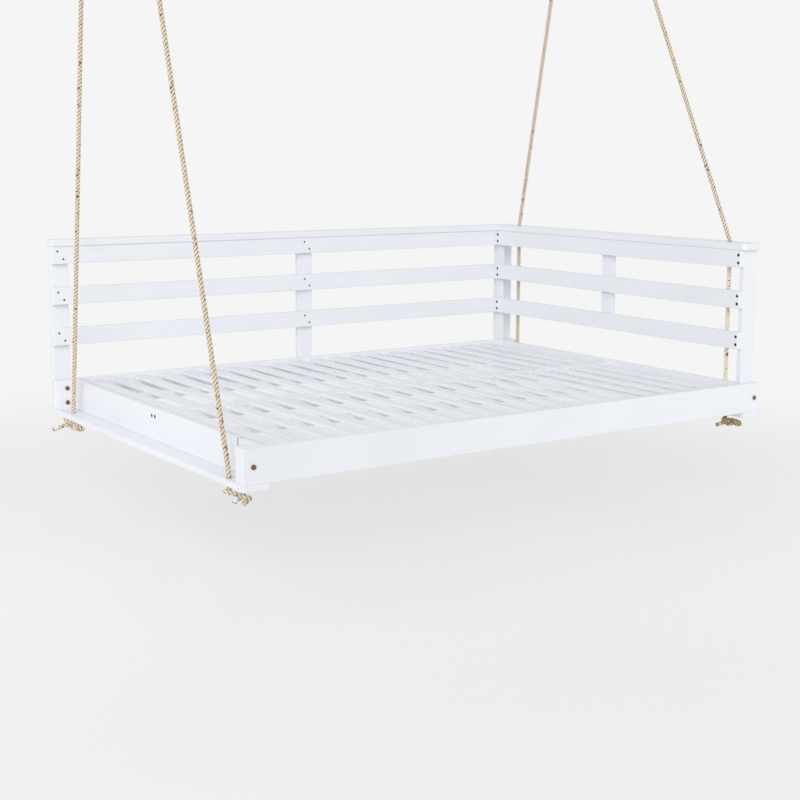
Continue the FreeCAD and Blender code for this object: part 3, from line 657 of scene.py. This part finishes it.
# In mm: how far each knot's middle lies along the knot from its hole, and where its tail ends,
# from the hole's lower end along X, Y and Z.
knot_shifts = {"front_left": 22.0, "back_left": 0.0, "front_right": 28.0, "back_right": 8.0}
knot_tails = {
    "front_left": (7.0, -15.0, -51.0),
    "back_left": (-66.0, 20.0, -37.0),
    "front_right": (-50.0, -14.0, -37.0),
    "back_right": (-60.0, 10.0, -36.0),
}
# Each knot's bends in mm: along the knot, to its near side and up, from the knot's middle.
knot_bends = {
    "front_left": [
        (-24, -5, 3), (-35, -1, -2), (-33, 8, 0), (-12, 9, 4), (12, 9, 7), (27, 8, 10), (36, -1, 8),
        (33, -10, 0), (29, -5, -12), (27, 7, -11), (24, 13, 1), (20, 6, 12), (14, -7, 8),
        (12, -10, -4), (6, -3, -9), (2, 6, 2)],
    "back_left": [
        (-12, -6, 8), (-28, -6, 5), (-36, 1, 2), (-30, 10, 3), (-8, 12, 7), (12, 12, 6),
        (28, 10, 3), (36, 1, -3), (30, -6, -8), (18, 2, -9), (12, 12, -5), (4, 9, -10),
        (0, -2, -15), (-10, -4, -11), (-22, 0, -9)],
    "front_right": [
        (-22, -5, 3), (-32, 0, -4), (-28, 9, -1), (-10, 12, 7), (8, 12, 11), (22, 9, 12),
        (32, 0, 7), (31, -8, 2), (22, -2, 2), (16, 8, 3), (8, 13, 1), (-2, 10, -4),
        (-8, 2, -12), (-20, 2, -9)],
    "back_right": [
        (-18, -5, 6), (-31, -2, 3), (-28, 8, 2), (-8, 10, 5), (14, 10, 5), (29, 7, 2),
        (35, -2, -4), (27, -8, -6), (12, -6, -9), (4, 3, -15), (-3, 9, -10), (-10, 2, -4),
        (-22, 0, -9)],
}


def bound_tape():
    """White cloth tape, gone grey: laps 6 mm wide with raised edges, and a weave 0.5 mm wide."""
    laps_in_lay = 6.0
    finish, tree = new_finish("pale_binding_tape")
    uv = add_node(tree, "ShaderNodeUVMap", uv_map="lay")
    parts = add_node(tree, "ShaderNodeSeparateXYZ", {0: uv.outputs[0]})
    laps = add_node(tree, "ShaderNodeMath", {0: parts.outputs["Y"], 1: laps_in_lay},
                    operation="MULTIPLY")
    lean = add_node(tree, "ShaderNodeMath", {0: parts.outputs["X"], 1: 1.0 / strands},
                    operation="MULTIPLY")
    lap = add_node(tree, "ShaderNodeMath", {0: laps.outputs[0], 1: lean.outputs[0]},
                   operation="ADD")
    edge = add_node(tree, "ShaderNodeMath", {0: lap.outputs[0]}, operation="FRACT")
    where = add_node(tree, "ShaderNodeTexCoord").outputs["Object"]
    weave = add_node(tree, "ShaderNodeTexNoise", {"Vector": where, "Scale": 2000.0, "Detail": 2.0})
    dirt = add_node(tree, "ShaderNodeTexNoise", {"Vector": where, "Scale": 160.0, "Detail": 4.0})
    ramp = add_node(tree, "ShaderNodeValToRGB", {"Fac": dirt.outputs["Fac"]})
    ramp.color_ramp.elements[0].position = 0.3
    ramp.color_ramp.elements[1].position = 0.6
    ramp.color_ramp.elements[0].color = linear("#B9BABD")
    ramp.color_ramp.elements[1].color = linear("#EDEDEE")
    height = add_node(tree, "ShaderNodeMath", {0: weave.outputs["Fac"], 1: 0.3, 2: edge.outputs[0]},
                      operation="MULTIPLY_ADD")
    bump = add_node(tree, "ShaderNodeBump",
                    {"Height": height.outputs[0], "Strength": 0.6, "Distance": 0.0004})
    tape = add_node(tree, "ShaderNodeBsdfPrincipled",
                    {"Base Color": ramp.outputs[0], "Roughness": 0.55, "IOR": 1.5,
                     "Normal": bump.outputs[0]})
    surface(tree, tape.outputs[0])
    return finish


def cut_fibre():
    """Cut rope ends: loose fibre ends 0.7 mm apart, orange brown with darker gaps, quite matt."""
    finish, tree = new_finish("cut_rope_fibre")
    where = add_node(tree, "ShaderNodeTexCoord").outputs["Object"]
    ends = add_node(tree, "ShaderNodeTexVoronoi", {"Vector": where, "Scale": 1400.0})
    ramp = add_node(tree, "ShaderNodeValToRGB", {"Fac": ends.outputs["Distance"]})
    ramp.color_ramp.elements[0].color = linear("#DDB488")
    ramp.color_ramp.elements[1].color = linear("#A37A50")
    bump = add_node(tree, "ShaderNodeBump",
                    {"Height": ends.outputs["Distance"], "Strength": 0.8, "Distance": 0.0005})
    fibre = add_node(tree, "ShaderNodeBsdfPrincipled",
                     {"Base Color": ramp.outputs[0], "Roughness": 0.9, "IOR": 1.5,
                      "Normal": bump.outputs[0]})
    surface(tree, fibre.outputs[0])
    return finish


def knot_route(place):
    """A knot's points: down through the hole, through its bends and out to the end of its tail.

    The tail's own first point lies at the share tail_start of its way out."""
    x, y = rope_holes[place]
    hole = np.array([corner[0] + x, corner[1] + y, plank_bottom])
    middle = hole + knot_way * knot_shifts[place] * mm - np.array([0.0, 0.0, knot_drop])
    knot_axes = np.array([knot_way, knot_side, knot_up])
    bends = middle + np.array(knot_bends[place], float) * mm @ knot_axes
    top = plank_top - rope_radius - rope_gap if place.endswith("left") else plank_middle
    neck = np.array([[hole[0], hole[1], top],
                     [hole[0], hole[1], plank_bottom - neck_past_plank]])
    tail_end = hole + np.array(knot_tails[place]) * mm
    out = bends[-1] + (tail_end - bends[-1]) * tail_start
    return np.vstack([neck, bends, out, tail_end])


shaded_olive_finish = tan_rope("shaded_olive_laid_rope", "#7D6543", "#BCA57F", "#E6D7B8", "#2A1B0C")
tape_finish = bound_tape()
fibre_finish = cut_fibre()
for place in rope_holes:
    knot_line, knot_run = smooth_line(knot_route(place), knot_step)
    left = knot_run[-1] - knot_run
    thickness = np.interp(knot_run, [hole_stretch, hole_stretch + thinning_stretch],
                          [strand_crest, knot_rope_radius])
    taped = (left < tape_length + cut_length) & (left > cut_length)
    thickness = np.where(taped, tape_radius, thickness)
    roundness = np.where(taped, tape_roundness, 0.0)
    # The knots at the arm end take the darker olive copy: painted shade.
    knot_finish = rope_finish if place.endswith("left") else shaded_olive_finish
    knot = laid_rope(place + "_stopper_knot", knot_line, knot_run, knot_finish,
                     thickness, roundness)
    knot.data.materials.append(tape_finish)
    knot.data.materials.append(fibre_finish)
    # Each ring of faces has the finish of the rope, 0, of the tape, 1, or of cut fibre, 2. The
    # last two faces are the knot's ends, of which the second is the cut one.
    around = (len(knot.data.polygons) - 2) // (len(knot_run) - 1)
    ring_kind = np.where(taped[1:] & taped[:-1], 1, np.where(left[1:] < cut_length, 2, 0))
    kind = np.zeros(len(knot.data.polygons), int)
    kind[:-2] = np.repeat(ring_kind, around)
    kind[-1] = 2
    knot.data.polygons.foreach_set("material_index", kind)
    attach(knot, "seat")
    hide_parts(place + "_knot")
    if place in lower_ropes:
        lower, lower_line, lower_run = lower_ropes[place]

# Ceiling hangers. A square-bottomed loop of 10 mm steel rod under a plate with two screw
# holes, at each rope's top. Black powder coat, which lies thick and slightly dimpled.


def powder_coat():
    """Black polyester powder coat, IOR 1.5: satin, with an orange-peel texture 1.5 mm across."""
    finish, tree = new_finish("black_powder_coat")
    where = add_node(tree, "ShaderNodeTexCoord").outputs["Object"]
    peel = add_node(tree, "ShaderNodeTexNoise", {"Vector": where, "Scale": 700.0, "Detail": 2.0})
    ramp = add_node(tree, "ShaderNodeValToRGB", {"Fac": peel.outputs["Fac"]})
    ramp.color_ramp.elements[0].color = linear("#141414")
    ramp.color_ramp.elements[1].color = linear("#262626")
    bump = add_node(tree, "ShaderNodeBump",
                    {"Height": peel.outputs["Fac"], "Strength": 0.3, "Distance": 0.0002})
    powder = add_node(tree, "ShaderNodeBsdfPrincipled",
                      {"Base Color": ramp.outputs[0], "Roughness": 0.42, "IOR": 1.5,
                       "Normal": bump.outputs[0]})
    surface(tree, powder.outputs[0])
    return finish


coat(["rope_hangers", "ceiling_plates"], powder_coat())

# The studio. A pale floor that fades into the background, even light from all round, a wide
# key light from the front left, a faint one from above, and a lamp near each end.
background = "#F5F5F5"
seat_middle = corner + np.array([frame_length / 2.0, frame_back / 2.0, 0.0])
floor_height = corner[2] - 480.0 * mm
floor_reach = 9.0
rim_points = 64


def floor_finish():
    """A matt pale floor that turns clear between 1.4 and 3.6 m from the object's middle.

    To the camera 0.6 of it glows by itself, so its shadows are as pale as the photograph's."""
    fade_start, fade_end = 1.4, 3.6
    glow_share = 0.6
    finish, tree = new_finish("studio_floor")
    where = add_node(tree, "ShaderNodeTexCoord").outputs["Object"]
    centre = add_node(tree, "ShaderNodeMapping",
                      {"Vector": where,
                       "Location": [-seat_middle[0], -seat_middle[1], -floor_height]})
    radius = add_node(tree, "ShaderNodeVectorMath", {0: centre.outputs[0]}, operation="LENGTH")
    fade = add_node(tree, "ShaderNodeMapRange",
                    {"Value": radius.outputs["Value"],
                     "From Min": fade_start, "From Max": fade_end},
                    interpolation_type="SMOOTHSTEP")
    matt = add_node(tree, "ShaderNodeBsdfDiffuse", {"Color": linear("#F6F6F6")})
    glow = add_node(tree, "ShaderNodeEmission", {"Color": linear("#F1F1F1")})
    ray = add_node(tree, "ShaderNodeLightPath")
    share = add_node(tree, "ShaderNodeMath",
                     {0: ray.outputs["Is Camera Ray"], 1: glow_share}, operation="MULTIPLY")
    pale = add_node(tree, "ShaderNodeMixShader",
                    {0: share.outputs[0], 1: matt.outputs[0], 2: glow.outputs[0]})
    clear = add_node(tree, "ShaderNodeBsdfTransparent")
    both = add_node(tree, "ShaderNodeMixShader",
                    {0: fade.outputs[0], 1: pale.outputs[0], 2: clear.outputs[0]})
    surface(tree, both.outputs[0])
    return finish


angle = np.arange(rim_points) * 2.0 * math.pi / rim_points
rim = np.column_stack([seat_middle[0] + floor_reach * np.cos(angle),
                       seat_middle[1] + floor_reach * np.sin(angle),
                       np.full(rim_points, floor_height)])
floor_mesh = bpy.data.meshes.new("floor")
floor_mesh.from_pydata(rim, [], [list(range(rim_points))])
floor_mesh.materials.append(floor_finish())
floor = bpy.data.objects.new("floor", floor_mesh)
bpy.context.scene.collection.objects.link(floor)

# The camera sees the backdrop's own colour, straight on, in a gloss and through anything clear.
# The even light falls on everything else.
world = bpy.data.worlds.new("studio")
world.use_nodes = True
world.node_tree.nodes.clear()
sky = world.node_tree
ray = add_node(sky, "ShaderNodeLightPath")
seen = add_node(sky, "ShaderNodeMath",
                {0: ray.outputs["Is Camera Ray"], 1: ray.outputs["Is Glossy Ray"]},
                operation="MAXIMUM")
seen = add_node(sky, "ShaderNodeMath",
                {0: seen.outputs[0], 1: ray.outputs["Is Transmission Ray"]},
                operation="MAXIMUM")
even_light = add_node(sky, "ShaderNodeBackground", {"Color": linear("#FFFFFF"), "Strength": 0.63})
backdrop = add_node(sky, "ShaderNodeBackground", {"Color": linear(background), "Strength": 1.0})
chosen = add_node(sky, "ShaderNodeMixShader",
                  {0: seen.outputs[0], 1: even_light.outputs[0], 2: backdrop.outputs[0]})
add_node(sky, "ShaderNodeOutputWorld", {"Surface": chosen.outputs[0]})
bpy.context.scene.world = world


def lamp(name, kind, strength, spread, place, towards):
    """A light at a place, aimed along a direction.

    Its spread is a sun's angle in degrees, or the side of a square lamp in metres."""
    data = bpy.data.lights.new(name, kind)
    data.energy = strength
    if kind == "SUN":
        data.angle = math.radians(spread)
    else:
        data.size = spread
    made = bpy.data.objects.new(name, data)
    made.location = place
    made.rotation_euler = Vector(towards).to_track_quat("-Z", "Y").to_euler()
    bpy.context.scene.collection.objects.link(made)


lamp("key", "SUN", 1.46, 40.0, seat_middle, (0.62, 0.70, -0.36))
lamp("top", "SUN", 0.08, 25.0, seat_middle, (-0.28, -0.20, -1.0))
lamp("left_end", "AREA", 4.2, 0.9, corner + np.array([-1.1, 0.6, 0.9]), (1.0, 0.0, -0.8))
lamp("right_front", "AREA", 2.4, 0.9, corner + np.array([2.1, -1.5, 0.35]), (-0.1, 1.0, -0.05))
bpy.context.scene.view_settings.view_transform = "Standard"

# The camera. Set where the photograph's was: left of the seat's middle, in front of it and
# a little above its backrest, looking right and slightly down. The picture is square.
camera_place = corner + np.array([-1779.9, -3312.2, 805.7]) * mm
yaw, pitch, roll = (math.radians(a) for a in (34.717, 7.227, 0.308))
picture_width = 800.0
focal_pixels = 1425.74
picture_middle = (402.42, 327.44)
forward = np.array([math.sin(yaw) * math.cos(pitch), math.cos(yaw) * math.cos(pitch),
                    -math.sin(pitch)])
level_right = np.array([math.cos(yaw), -math.sin(yaw), 0.0])
level_up = np.cross(level_right, forward)
right = math.cos(roll) * level_right + math.sin(roll) * level_up
upward = math.cos(roll) * level_up - math.sin(roll) * level_right
camera_data = bpy.data.cameras.new("camera")
camera_data.sensor_width = 36.0
camera_data.lens = camera_data.sensor_width * focal_pixels / picture_width
camera_data.shift_x = (picture_width / 2.0 - picture_middle[0]) / picture_width
camera_data.shift_y = (picture_middle[1] - picture_width / 2.0) / picture_width
camera = bpy.data.objects.new("camera", camera_data)
rows = [[right[i], upward[i], -forward[i], camera_place[i]] for i in range(3)]
camera.matrix_world = Matrix(rows + [[0.0, 0.0, 0.0, 1.0]])
bpy.context.scene.collection.objects.link(camera)
bpy.context.scene.camera = camera
